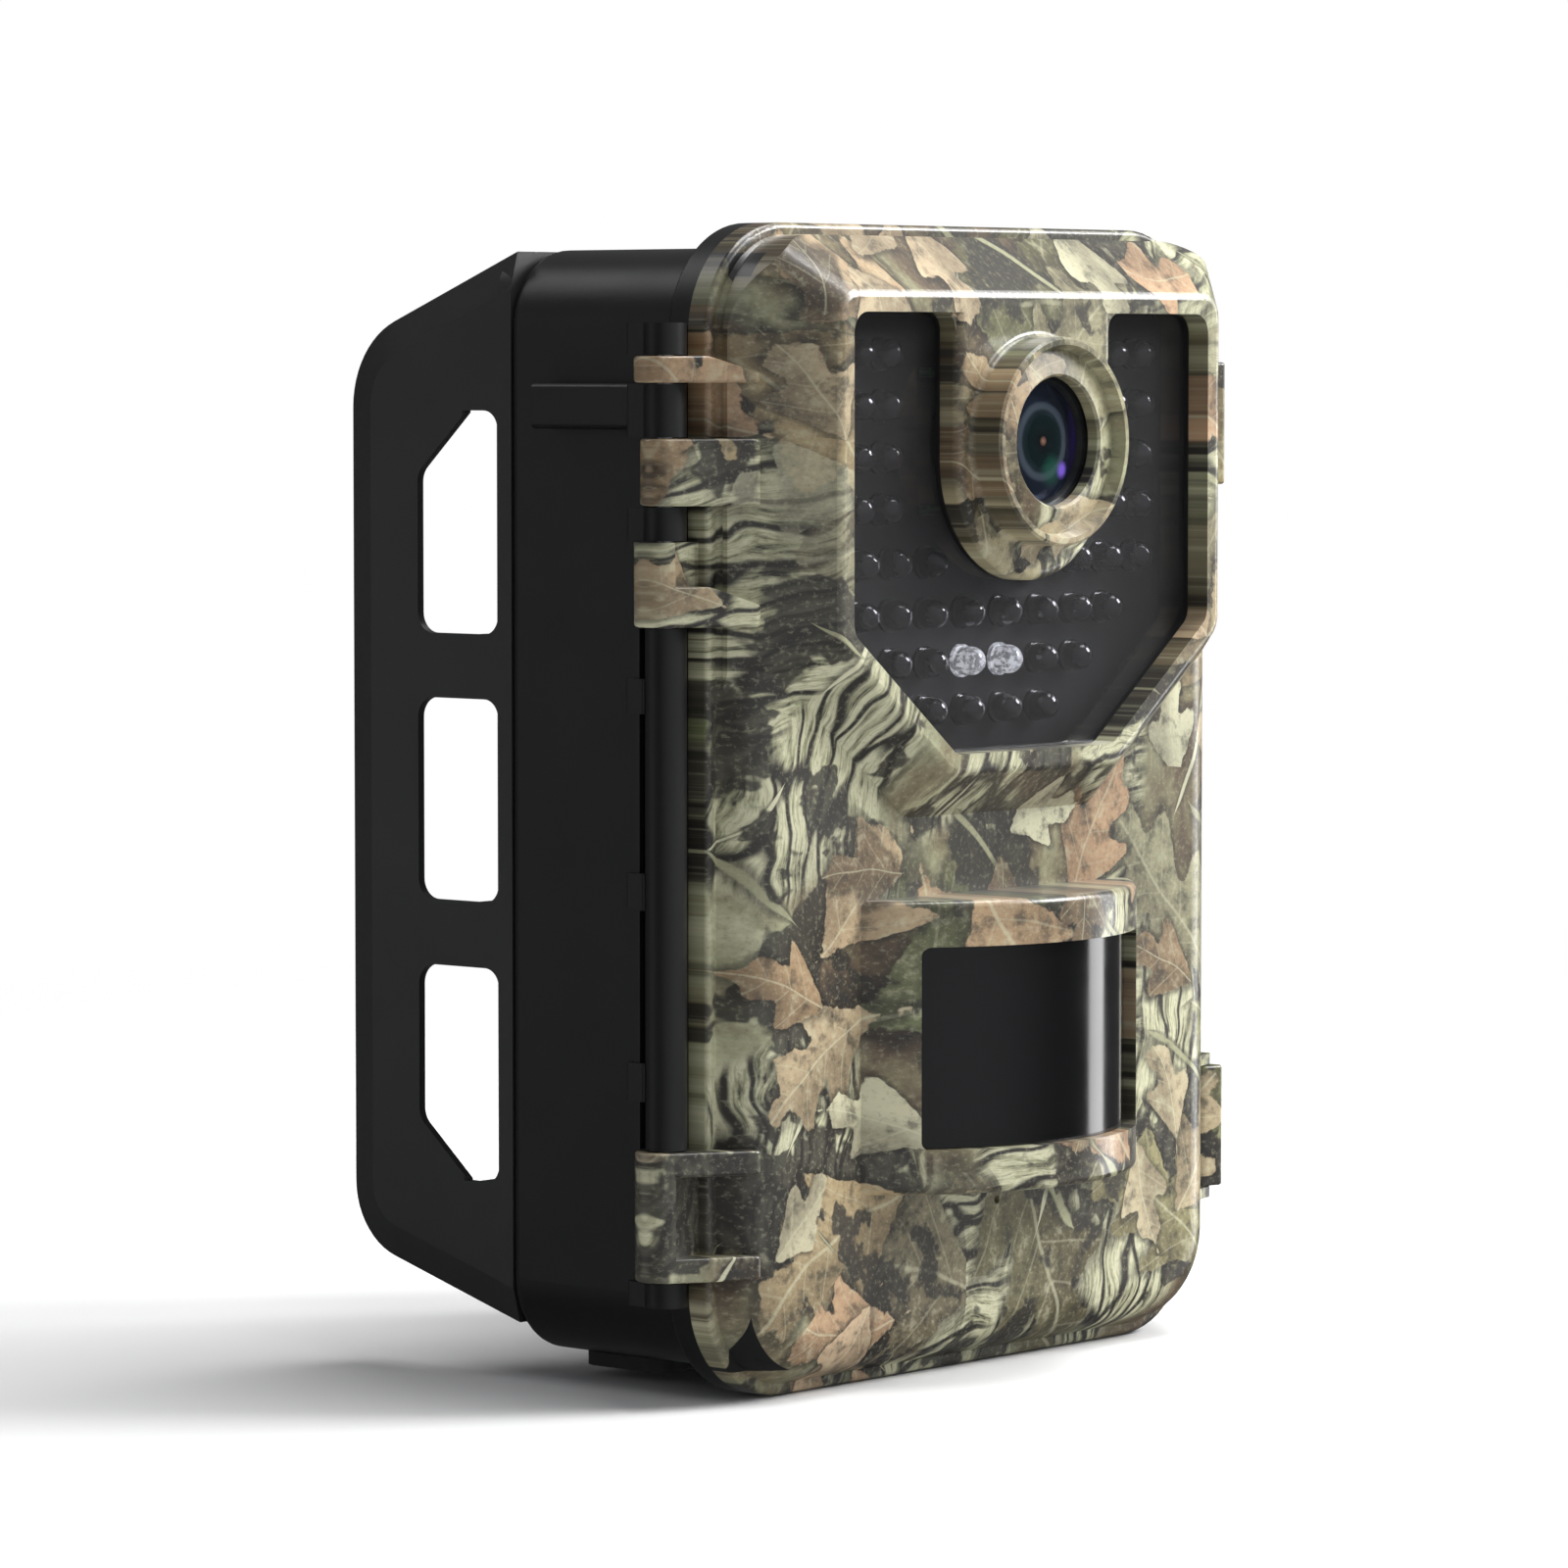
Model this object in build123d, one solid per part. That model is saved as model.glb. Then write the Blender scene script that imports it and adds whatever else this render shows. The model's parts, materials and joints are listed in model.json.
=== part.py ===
from build123d import *
import math
import os

# Trail camera, in millimetres.
# X runs to the right seen from the front, the front faces -Y, Z is up.
# The model is drawn from the joint between the two half-shells: X = 0 is the middle of the
# shell, Y = 0 the joint plane, Z = 0 the lowest edge. On export it is shifted so that the
# origin is the mouth of the tripod socket.

# ---- driving dimensions ----
SHELL_W = 91.0
SHELL_H = 135.0
CORNER_R = 13.0
WALL = 2.2
GAP = 0.15

RIM_T = 3.0
LEDGE = 1.4
FACE_Y = -8.5
BODY_DRAFT = 25.0
BODY_ROUND = 6.0
BEZEL_Y = -14.24
PANEL_Y = -10.6

# window in the hood over the infrared lamps
WIN_HALF = 33.1
WIN_TOP = 124.8
WIN_SIDE = 88.2
WIN_BOTTOM = 73.7
WIN_BOTTOM_HALF = 14.6
BEZEL_T = 2.2
HOOD_FLARE = 5.3
HOOD_BACK_Y = -4.0

# lens tower
LENS_Z = 109.8
TAB_HALF = 14.3
TAB_ARC_Z = 107.8
ROOT_R = 2.0
BARREL_R = 12.2
BARREL_Y = -18.66
DISH_DEPTH = 1.1
LENS_HOLE_R = 7.6
COVER_GLASS_Y = -15.8
COVER_GLASS_T = 0.5
LENS_FRONT_Y = -15.2
LENS_R = 6.9
LENS_DOME_R = 40.0
FILTER_TRAVEL = 6.2

# motion sensor bump
PIR_R = 31.5
PIR_CY = 10.6
PIR_Z0 = 22.8
PIR_Z1 = 57.0
PIR_WIN_HALF = 20.2
PIR_WIN_Z0 = 28.0
PIR_WIN_Z1 = 51.6

# rear case
FLANGE_T = 3.3
CASE_HALF = 43.5
CASE_Z0 = 2.9
CASE_Z1 = 132.1
CASE_Y = 29.7
CASE_R = 9.0
CASE_WALL = 2.4
SEAL_INSET = 2.9
SEAL_W = 1.4
SEAL_DEPTH = 1.9

# tripod socket
SOCKET_Y = 15.0
SOCKET_R = 3.175
SOCKET_DEPTH = 9.0
BOSS_R = 10.0

# hinge
HINGE_X = -49.3
PIN_R = 1.0
PIN_FIT = 0.06
KNUCKLE_R = 2.4
DOOR_KNUCKLE_R = 3.2
POCKET_X = -50.7
POCKET_Y = -1.6
FOOT_Y = 4.3
CASE_KNUCKLES = [(11.8, 14.6), (98.9, 102.7), (110.6, 116.6), (119.9, 123.5)]
DOOR_KNUCKLES = [(14.75, 29.6), (89.15, 98.75), (102.85, 110.45), (116.75, 119.75)]
TUBE_Z0 = 29.75
TUBE_Z1 = 89.0
CLIPS = [(35.2, 39.6), (57.0, 61.2), (79.3, 83.3)]
TUBE_NOTCHES = [(34.4, 40.7), (54.2, 64.0), (78.4, 83.9)]

# latches
LATCH_X = 47.3
LATCH_Y = -2.6
LATCH_PIN_R = 0.7
LATCH_ZS = {"lower": (17.0, 32.0), "upper": (104.0, 119.0)}
EAR_T = 1.3

# tree bracket
WING_T = 4.2
WING_Y = 56.5
PLATE_Z0 = 6.4
PLATE_Z1 = 131.9
WING_LOW_Z = 14.5
WING_HIGH_Z = 121.1
WING_LOW_R = 9.0
WING_HIGH_R = 11.0
WING_BEVEL = 4.0
WING_BEVEL_DROP = 1.2
WING_SKIN = 1.0
WINDOW_Y0 = 31.9
WINDOW_Y = 35.6
WINDOW_Y1 = 44.8
STRAP_WINDOWS = [(22.7, 48.0, -7.0), (55.7, 79.6, 0.0), (87.2, 113.4, 7.4)]
BAR_ZS = (51.9, 83.4)
CRADLE_R = 75.0
BRACKET_SCREWS = [(x, z) for x in (-30.0, 30.0) for z in (24.0, 108.0)]

# batteries
CELL_R = 7.2
CELL_L = 49.5
CELL_XS = [-22.8, -7.6, 7.6, 22.8]
CELL_Y = 17.2
BOX_Z0 = 16.0
BOX_Z1 = 127.6
BOX_WALL = 1.4
BOX_HALF = 32.0
BOX_Y0 = 8.0
BOX_Y1 = 26.8
BAY = (BOX_Z1 - BOX_Z0 - 3 * BOX_WALL) / 2
COVER_Y = 7.8
COVER_T = 1.6
RIDGES = 5
RIDGE_STEP = 1.6

# power socket under the case
PLUG_X = -29.0
PLUG_Y = 20.0

# lamps
LED_R = 1.7
LED_BACK_Y = -5.5
LED_TIP_Y = -9.0
LED_ROWS = [
    (120.0, [18.6, 23.7, 28.8]),
    (114.0, [18.6, 23.7, 28.8]),
    (108.0, [18.6, 23.7, 28.8]),
    (102.0, [18.6, 23.7, 28.8]),
    (95.7, [10.4, 16.9, 22.8, 28.6]),
    (89.7, [3.5, 10.4, 16.9, 22.8]),
    (84.0, [3.5, 10.4, 16.9]),
    (78.3, [3.5, 10.4]),
]
WHITE_LED = (84.0, 3.5)

# door panel, keys and card
PANEL_HALF = 38.0
PANEL_Z0 = 8.0
PANEL_Z1 = 127.0
PANEL_BACK_Y = 3.6
PANEL_T = 1.6
LCD_Z = 97.0
LCD_W = 50.0
LCD_H = 37.0
VIEW_W = 41.6
VIEW_H = 31.4
KEYS = {
    "key_up": (-12.0, 66.5),
    "key_down": (-12.0, 49.5),
    "key_left": (-20.5, 58.0),
    "key_right": (-3.5, 58.0),
    "key_ok": (-12.0, 58.0),
    "key_menu": (12.0, 58.0),
}
KEY_SIZE = 6.0
KEY_PROUD = 0.9
SWITCH_X = 20.0
SWITCH_Z = 36.0
CARD_X = -18.0
CARD_Z = 33.0


# ---- helpers ----

def prism(sketch, y_back, y_front):
    """A drawing in the XZ plane, extruded from y_back forward to y_front."""
    return extrude(Plane.XZ.offset(-y_back) * sketch, amount=y_back - y_front, dir=(0, -1, 0))


def block(x0, x1, y0, y1, z0, z1):
    size = (x1 - x0, y1 - y0, z1 - z0)
    centre = ((x0 + x1) / 2, (y0 + y1) / 2, (z0 + z1) / 2)
    return Pos(*centre) * Box(*size)


def rod_y(x, z, r, y0, y1):
    """A round rod along Y."""
    return Pos(x, (y0 + y1) / 2, z) * Rot(90, 0, 0) * Cylinder(r, y1 - y0)


def rod_z(x, y, r, z0, z1):
    """A round rod along Z."""
    return Pos(x, y, (z0 + z1) / 2) * Cylinder(r, z1 - z0)


def rounded(x0, x1, z0, z1, r):
    """A rounded rectangle drawn in the XZ plane."""
    return Pos((x0 + x1) / 2, (z0 + z1) / 2) * RectangleRounded(x1 - x0, z1 - z0, r)


def outline(inset=0.0):
    """The outline of the shell, drawn in by a given amount."""
    half = SHELL_W / 2 - inset
    return rounded(-half, half, inset, SHELL_H - inset, CORNER_R - inset)


def case_outline(inset=0.0):
    half = CASE_HALF - inset
    return rounded(-half, half, CASE_Z0 + inset, CASE_Z1 - inset, CASE_R - inset)


def hood_points(grow=0.0):
    """The shield shape of the lamp window, grown outward by a given amount."""
    slope = math.atan2(WIN_SIDE - WIN_BOTTOM, WIN_HALF - WIN_BOTTOM_HALF)
    side_z = WIN_SIDE - grow * math.tan((math.pi / 2 - slope) / 2)
    bottom_half = WIN_BOTTOM_HALF + grow * math.tan(slope / 2)
    right = [
        (WIN_HALF + grow, WIN_TOP + grow),
        (WIN_HALF + grow, side_z),
        (bottom_half, WIN_BOTTOM - grow),
    ]
    left = [(-x, z) for x, z in reversed(right)]
    return right + left


def shield(grow=0.0, top_r=0.0, low_r=0.0):
    face = Polygon(*hood_points(grow), align=None)
    corners = face.vertices().sort_by(Axis.Y)
    if top_r:
        face = fillet(corners[-2:], top_r)
    if low_r:
        face = fillet(face.vertices().sort_by(Axis.Y)[:4], low_r)
    return face


def arc_wall(r_out, r_in, half, z0, z1, corner):
    """Part of a round wall about the motion sensor's centre, cut to a rounded window."""
    ring = rod_z(0, PIR_CY, r_out, z0 - 1, z1 + 1) - rod_z(0, PIR_CY, r_in, z0 - 2, z1 + 2)
    return ring & prism(rounded(-half, half, z0, z1, corner), 0, -30)


def hull_xy(circles, z0, z1):
    """The hull of some circles (x, y, r) in the XY plane, extruded from z0 to z1."""
    face = make_hull([Pos(x, y) * Edge.make_circle(r) for x, y, r in circles])
    return extrude(Plane.XY.offset(z0) * face, amount=z1 - z0)


def group(parts):
    """Several separate solids in one node."""
    return Compound([solid for part in parts for solid in part.solids()])


# ---- front shell: the camouflaged door ----

def shell_body():
    """Rim and body with a broad rounding to the front face."""
    rim = fillet(prism(outline(), 0, -RIM_T).edges().group_by(Axis.Y)[0], 0.7)
    foot = Plane.XZ.offset(RIM_T) * outline(LEDGE)
    body = extrude(foot, amount=-FACE_Y - RIM_T, taper=BODY_DRAFT)
    body = fillet(body.edges().group_by(Axis.Y)[0], BODY_ROUND)
    return rim + body + prism(outline(LEDGE + 1), -1, -RIM_T - 1)


def hood():
    """The flared hood around the lamp window, cut to the shell's outline."""
    flare = HOOD_FLARE * (HOOD_BACK_Y - BEZEL_Y) / (FACE_Y - BEZEL_Y)
    front = Plane.XZ.offset(-BEZEL_Y) * shield(BEZEL_T)
    back = Plane.XZ.offset(-HOOD_BACK_Y) * shield(BEZEL_T + flare)
    solid = loft([back, front], ruled=True)
    slants = [e for e in solid.edges() if abs((e @ 0).Y - (e @ 1).Y) > 5]
    solid = fillet(slants, 4.5)
    solid = fillet(solid.edges().group_by(Axis.Y)[0], 1.3)
    return solid & prism(outline(LEDGE), 0, BEZEL_Y - 1)


def lens_tower():
    """The tongue that hangs into the window, and the round lens shroud on it."""
    tongue = rounded(-TAB_HALF, TAB_HALF, TAB_ARC_Z - TAB_HALF, WIN_TOP + 20, TAB_HALF - 0.01)
    tongue = prism(tongue, PANEL_Y, BEZEL_Y) & block(-TAB_HALF, TAB_HALF, -30, 0, 0, WIN_TOP + 1)
    side = tongue.edges().group_by(Axis.Y)[0].filter_by(lambda e: e.center().Z < WIN_TOP + 0.5)
    tongue = fillet(side, 1.2)
    floor_y = BARREL_Y + DISH_DEPTH
    profile = Polygon(
        (0, PANEL_Y), (BARREL_R, PANEL_Y), (BARREL_R, BARREL_Y + 0.3), (BARREL_R - 0.3, BARREL_Y),
        (BARREL_R - 0.9, BARREL_Y), (BARREL_R - 1.4, floor_y + 0.5),
        (LENS_HOLE_R + 0.3, floor_y), (LENS_HOLE_R, floor_y + 0.3), (0, floor_y + 0.3),
        align=None)
    shroud = Pos(0, 0, LENS_Z) * revolve(Plane.XY * profile, Axis.Y)
    tower = tongue + shroud
    foot = [e for e in tower.edges().filter_by(GeomType.CIRCLE)
            if abs(e.center().Y - BEZEL_Y) < 0.01 and abs(e.radius - BARREL_R) < 0.01]
    return fillet(foot, 0.8)


def tongue_roots():
    """The rounded inner corners where the tongue leaves the hood."""
    roots = []
    for side in (-1, 1):
        x = side * (TAB_HALF + ROOT_R)
        z = WIN_TOP - ROOT_R
        square = block(min(side * (TAB_HALF - 1), x), max(side * (TAB_HALF - 1), x),
                       BEZEL_Y + 0.6, PANEL_Y, z, WIN_TOP + 1)
        roots.append(square - rod_y(x, z, ROOT_R, BEZEL_Y - 1, 0))
    return roots


def pir_bump():
    """The half-round housing of the motion sensor."""
    drum = rod_z(0, PIR_CY, PIR_R, PIR_Z0, PIR_Z1)
    drum = fillet(drum.edges().filter_by(GeomType.CIRCLE), 0.9)
    return drum & block(-40, 40, -40, FACE_Y + 1.5, 0, SHELL_H)


def shell_cavities():
    """Everything hollow in the door, one solid per pocket."""
    half = SHELL_W / 2 - LEDGE - WALL
    main = prism(rounded(-half, half, LEDGE + WALL, SHELL_H - LEDGE - WALL, 9.0), 1, FACE_Y + WALL)
    main = fillet(main.edges().group_by(Axis.Y)[0], 4.0)
    lamp_bay = prism(shield(1.1, 3.0, 3.0), 0, PANEL_Y)
    window = prism(shield(0, 2.4, 2.4), 0, BEZEL_Y - 1)
    drum = rod_z(0, PIR_CY, PIR_R - 2.6, PIR_Z0 + 2.2, PIR_Z1 - 2.2)
    drum = drum & block(-40, 40, -40, 0, 0, SHELL_H)
    pir_window = prism(rounded(-PIR_WIN_HALF, PIR_WIN_HALF, PIR_WIN_Z0, PIR_WIN_Z1, 1.0), 0, -30)
    bore = rod_y(0, LENS_Z, LENS_HOLE_R, -30, 1)
    seat = rod_y(0, LENS_Z, 8.2, COVER_GLASS_Y - 0.05, 1)
    sound = rod_y(0, 20.1, 0.5, -12, 0)
    return main, lamp_bay, window, drum, pir_window, bore, seat, sound


def knuckle_rib(z0, z1, tip_top=None):
    """A hinge rib that wraps from the barrel to the front. Its end may slope down to tip_top."""
    wrap = [(HINGE_X - 0.26, 0.3, DOOR_KNUCKLE_R), (-42.3, -6.9, 0.9), (-43.6, -1.0, 0.7)]
    rib = fillet(hull_xy(wrap, z0, z1).edges().filter_by(Plane.XY), 0.4)
    if tip_top:
        slope = Polygon((HINGE_X + 2.0, z1), (HINGE_X + 2.0, z1 + 5), (-38.0, z1 + 5),
                        (-38.0, tip_top - 1.0), (-41.5, tip_top), align=None)
        rib = rib - prism(slope, 5, -15)
    return rib


def block_rib(z0, z1):
    """The tall closed hinge block, a little slimmer than the ribs."""
    wrap = [(HINGE_X, 0, 2.9), (-42.3, -6.9, 0.9), (-43.6, -1.0, 0.7)]
    return fillet(hull_xy(wrap, z0, z1).edges().filter_by(Plane.XY), 0.4)


def knuckle_barrel(z0, z1, open_z0, open_z1):
    """The round part of a hinge block, hollowed in front between the ribs."""
    barrel = hull_xy([(HINGE_X - 0.26, 0.3, DOOR_KNUCKLE_R), (-44.2, -2.0, 1.6)], z0, z1)
    return barrel - block(POCKET_X, -40, -12, POCKET_Y, open_z0, open_z1)


def door_knuckles():
    """Camouflaged hinge blocks: ribs that wrap to the front, with round barrels between them."""
    low, mid, high, thin = DOOR_KNUCKLES
    flange = block(-SHELL_W / 2 - 0.25, 0, 0, 5, 5, SHELL_H)
    solids = [
        knuckle_rib(low[0], low[0] + 2.8),
        knuckle_rib(low[1] - 2.8, low[1]),
        knuckle_barrel(low[0] + 1, low[1] - 1, low[0] + 1, low[1] - 1),
        knuckle_rib(mid[0], mid[0] + 4.6, mid[0] + 2.2),
        knuckle_barrel(mid[0] + 1, mid[1], mid[0] + 1, mid[1] + 1),
        block_rib(high[0], high[1]),
        knuckle_rib(thin[0], thin[1], thin[0] + 0.8),
    ]
    return [solid - flange for solid in solids]


def latch_ears():
    """Ears that hold the latch pins, and a low pad in front of each lever."""
    ears = []
    for z0, z1 in LATCH_ZS.values():
        for a, b in ((z0 - EAR_T - GAP, z0 - GAP), (z1 + GAP, z1 + EAR_T + GAP)):
            ears.append(hull_xy([(LATCH_X, LATCH_Y, 1.25), (43.0, -3.4, 1.6), (43.0, -1.6, 1.2)], a, b))
        pad = hull_xy([(44.2, LATCH_Y - 1.8, 0.5), (42.5, -4.8, 0.8), (43.0, -3.4, 1.0)],
                      z0 - EAR_T - GAP, z1 + EAR_T + GAP)
        ears.append(fillet(pad.edges().filter_by(Plane.XY), 0.3))
    return ears


def make_front_shell():
    shell = shell_body() + hood() + pir_bump()
    main, lamp_bay, window, drum, pir_window, bore, seat, sound = shell_cavities()
    shell = shell - main - lamp_bay - window - drum
    shell = shell + lens_tower()
    for root in tongue_roots():
        shell = shell + root
    shell = shell - pir_window - bore - seat - sound
    for part in door_knuckles() + latch_ears():
        shell = shell + part
    pull = block(43.5, 47.0, -3.0, -0.3, 63.0, 72.5)
    shell = shell + fillet(pull.edges().filter_by(Axis.Y), 1.0)
    shell = shell - rod_z(HINGE_X, 0, PIN_R + PIN_FIT, 5, 130)
    for z0, z1 in LATCH_ZS.values():
        shell = shell - rod_z(LATCH_X, LATCH_Y, LATCH_PIN_R, z0 - 3, z1 + 3)
    for x, z in panel_screw_places():
        shell = shell + (rod_y(x, z, 2.6, -7.0, -0.4) & prism(outline(LEDGE + 1), 0, -7.0))
        shell = shell - rod_y(x, z, 0.9, -5.0, 0)
    return shell


def panel_screw_places():
    return [(x, z) for x in (-33.5, 33.5) for z in (13.0, 62.0)]


# ---- lamps and lens ----

def lamp_places():
    """All lamp positions (x, z), mirrored about the middle."""
    return [(side * x, z) for z, xs in LED_ROWS for x in xs for side in (-1, 1)]


def lamp(x, z):
    body = rod_y(x, z, LED_R, LED_TIP_Y + LED_R, LED_BACK_Y)
    collar = rod_y(x, z, LED_R + 0.25, LED_BACK_Y - 0.5, LED_BACK_Y)
    dome = Pos(x, LED_TIP_Y + LED_R, z) * Sphere(LED_R)
    return body + collar + dome


def make_ir_window():
    """The dark clear panel over the lamps, with a hole for the lens tube."""
    panel = prism(shield(1.0, 2.9, 2.9), PANEL_Y + 1.3, PANEL_Y)
    return panel - rod_y(0, LENS_Z, 8.6, -12, -9)


def make_led_board():
    board = prism(shield(0.9, 2.8, 2.8), LED_BACK_Y + 1.2, LED_BACK_Y)
    return board - block(-11.0, 11.0, LED_BACK_Y - 1, 0, LENS_Z - 8.6, LENS_Z + 8.6)


def make_lens_cover():
    disc = rod_y(0, LENS_Z, 8.0, COVER_GLASS_Y, COVER_GLASS_Y + COVER_GLASS_T)
    return fillet(disc.edges().group_by(Axis.Y)[0], 0.2)


def make_lens_barrel():
    """Stepped black tube that carries the lens, with a sloped inner edge in front."""
    front = COVER_GLASS_Y + COVER_GLASS_T + 0.05
    inner = LENS_R + 0.1
    profile = Polygon((inner + 0.3, front), (8.0, front), (8.0, -4.6), (4.0, -4.6), (4.0, -6.0),
                      (inner, -6.0), (inner, LENS_FRONT_Y + 0.7), align=None)
    return Pos(0, 0, LENS_Z) * revolve(Plane.XY * profile, Axis.Y)


def make_lens_glass():
    """The lens block: a domed front glass on a straight body."""
    body = rod_y(0, LENS_Z, LENS_R, LENS_FRONT_Y + 1.0, -6.1)
    ball = Pos(0, LENS_FRONT_Y + LENS_DOME_R, LENS_Z) * Sphere(LENS_DOME_R)
    cap = ball & rod_y(0, LENS_Z, LENS_R, LENS_FRONT_Y - 1, LENS_FRONT_Y + 2)
    return body + cap


def make_ir_cut_housing():
    frame = block(-10.5, 10.5, -4.5, -1.9, LENS_Z - 7.5, LENS_Z + 7.5)
    slot = block(-9.5, 9.5, -3.8, -2.6, LENS_Z - 5.1, LENS_Z + 5.1)
    light = rod_y(0, LENS_Z, 3.6, -5, -1)
    return frame - slot - light


def make_ir_cut_filter():
    """The sliding carrier with a day and a night pane, one in front of the sensor at rest."""
    carrier = block(-9.3, 3.1, -3.7, -2.7, LENS_Z - 5.0, LENS_Z + 5.0)
    for x in (0.0, -FILTER_TRAVEL):
        carrier = carrier - rod_y(x, LENS_Z, 2.8, -4, -2) + rod_y(x, LENS_Z, 2.9, -3.4, -3.0)
    return carrier


def make_sensor_board():
    return block(-15, 15, -0.95, 0.0, LENS_Z - 10, LENS_Z + 10)


def make_image_sensor():
    return block(-4.2, 4.2, -1.85, -1.0, LENS_Z - 3.6, LENS_Z + 3.6)


# ---- motion sensor ----

def make_pir_lens():
    """The curved black window and the flange that holds it from behind."""
    window = arc_wall(PIR_R - 1.5, PIR_R - 2.5, PIR_WIN_HALF - 0.04,
                      PIR_WIN_Z0 + 0.04, PIR_WIN_Z1 - 0.04, 1.0)
    flange = arc_wall(PIR_R - 2.62, PIR_R - 3.4, PIR_WIN_HALF + 1.4,
                      PIR_WIN_Z0 - 1.4, PIR_WIN_Z1 + 1.4, 1.0)
    bridge = arc_wall(PIR_R - 2.4, PIR_R - 2.8, PIR_WIN_HALF - 0.04,
                      PIR_WIN_Z0 + 0.04, PIR_WIN_Z1 - 0.04, 1.0)
    return window + bridge + flange


def make_pir_sensor():
    can = rod_y(0, 39.5, 4.1, -7.2, -3.2) + rod_y(0, 39.5, 4.6, -3.6, -3.0)
    return can - block(-2.0, 2.0, -8, -6.9, 38.0, 41.0)


# ---- electronics in the door ----

def board_screw_places():
    return [(x, z) for x in (-27, 27) for z in (15, 66)]


def make_main_board():
    board = block(-30, 30, -2.9, -1.7, 11, 70)
    for x, z in board_screw_places():
        board = board - rod_y(x, z, 1.1, -4, 0)
    return board


def make_board_screws():
    screws = []
    for x, z in board_screw_places():
        screws.append(rod_y(x, z, 0.95, -4.6, -1.65) + rod_y(x, z, 1.9, -1.65, -0.7))
    return group(screws)


def make_board_chips():
    """Processor, memory, regulator coil and connector on the back of the main board."""
    chips = [(2, 16, 40, 54, 1.2), (19, 27, 44, 54, 1.0), (-28, -20, 40, 47, 1.6), (6, 13, 12, 18, 1.6)]
    return group(block(x0, x1, -1.65, -1.65 + t, z0, z1) for x0, x1, z0, z1, t in chips)


def make_key_switches():
    return group(block(x - 2.2, x + 2.2, -1.65, 0.45, z - 2.2, z + 2.2) for x, z in KEYS.values())


def make_key(x, z):
    """A key cap with a foot wider than its hole."""
    half = KEY_SIZE / 2
    cap = prism(rounded(x - half, x + half, z - half, z + half, 1.2), PANEL_BACK_Y + KEY_PROUD, 1.6)
    cap = fillet(cap.edges().group_by(Axis.Y)[-1], 0.35)
    foot = prism(rounded(x - half - 0.7, x + half + 0.7, z - half - 0.7, z + half + 0.7, 1.4), 1.75, 1.1)
    return cap + foot


def make_inner_panel():
    """The black liner of the door: a shallow tray with openings for screen, keys and card."""
    tray = prism(rounded(-PANEL_HALF, PANEL_HALF, PANEL_Z0, PANEL_Z1, 7.0), PANEL_BACK_Y, -0.3)
    tray = fillet(tray.edges().group_by(Axis.Y)[-1], 1.0)
    hollow = prism(rounded(-PANEL_HALF + 1.6, PANEL_HALF - 1.6, PANEL_Z0 + 1.6, PANEL_Z1 - 1.6, 5.5),
                   PANEL_BACK_Y - PANEL_T, -1)
    tray = tray - hollow
    view = rounded(-VIEW_W / 2, VIEW_W / 2, LCD_Z - VIEW_H / 2, LCD_Z + VIEW_H / 2, 1.5)
    tray = tray - prism(view, 5, 0)
    clear = KEY_SIZE / 2 + GAP
    for x, z in KEYS.values():
        tray = tray - prism(rounded(x - clear, x + clear, z - clear, z + clear, 1.3), 5, 0)
    tray = tray - block(SWITCH_X - 5.2, SWITCH_X + 5.2, 0, 5, SWITCH_Z - 2.2, SWITCH_Z + 2.2)
    tray = tray - block(CARD_X - 7.5, CARD_X + 7.5, -1, 5, PANEL_Z0 - 1, CARD_Z - 2)
    for x, z in panel_screw_places():
        tray = tray + (rod_y(x, z, 2.8, -0.3, PANEL_BACK_Y - 0.8))
        tray = tray - rod_y(x, z, 1.1, -1, 5) - rod_y(x, z, 2.2, PANEL_BACK_Y - 1.5, 5)
    return tray


def make_panel_screws():
    screws = []
    for x, z in panel_screw_places():
        head_y = PANEL_BACK_Y - 1.45
        head = rod_y(x, z, 2.0, head_y, head_y + 1.2)
        cross = block(x - 1.2, x + 1.2, head_y + 0.6, 9, z - 0.25, z + 0.25) \
            + block(x - 0.25, x + 0.25, head_y + 0.6, 9, z - 1.2, z + 1.2)
        screws.append(rod_y(x, z, 0.88, -4.5, head_y) + head - cross)
    return group(screws)


def make_lcd_display():
    return block(-LCD_W / 2, LCD_W / 2, 0.1, 1.9, LCD_Z - LCD_H / 2, LCD_Z + LCD_H / 2)


def make_lcd_cover():
    view = rounded(-VIEW_W / 2 + 0.1, VIEW_W / 2 - 0.1, LCD_Z - VIEW_H / 2 + 0.1,
                   LCD_Z + VIEW_H / 2 - 0.1, 1.4)
    return prism(view, PANEL_BACK_Y - 0.3, 2.2)


def make_power_switch_body():
    body = block(SWITCH_X - 6, SWITCH_X + 6, -1.65, 1.3, SWITCH_Z - 3, SWITCH_Z + 3)
    return body - block(SWITCH_X - 4.6, SWITCH_X + 4.6, 0.2, 5, SWITCH_Z - 1.2, SWITCH_Z + 1.2)


def make_power_switch_knob():
    """The three-way slide: off at rest, then set-up, then on."""
    x = SWITCH_X - 3.0
    stem = block(x - 1.0, x + 1.0, 0.4, 2.2, SWITCH_Z - 1.0, SWITCH_Z + 1.0)
    cap = block(x - 2.0, x + 2.0, 2.0, 5.0, SWITCH_Z - 2.0, SWITCH_Z + 2.0)
    for dx in (-1.0, 0.0, 1.0):
        cap = cap - block(x + dx - 0.2, x + dx + 0.2, 4.6, 6, SWITCH_Z - 3, SWITCH_Z + 3)
    return stem + cap


def make_card_socket():
    shell = block(CARD_X - 7.2, CARD_X + 7.2, -1.6, 0.6, CARD_Z - 14.5, CARD_Z)
    return shell - block(CARD_X - 5.7, CARD_X + 5.7, -1.1, 0.1, CARD_Z - 16, CARD_Z - 1.0)


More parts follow.
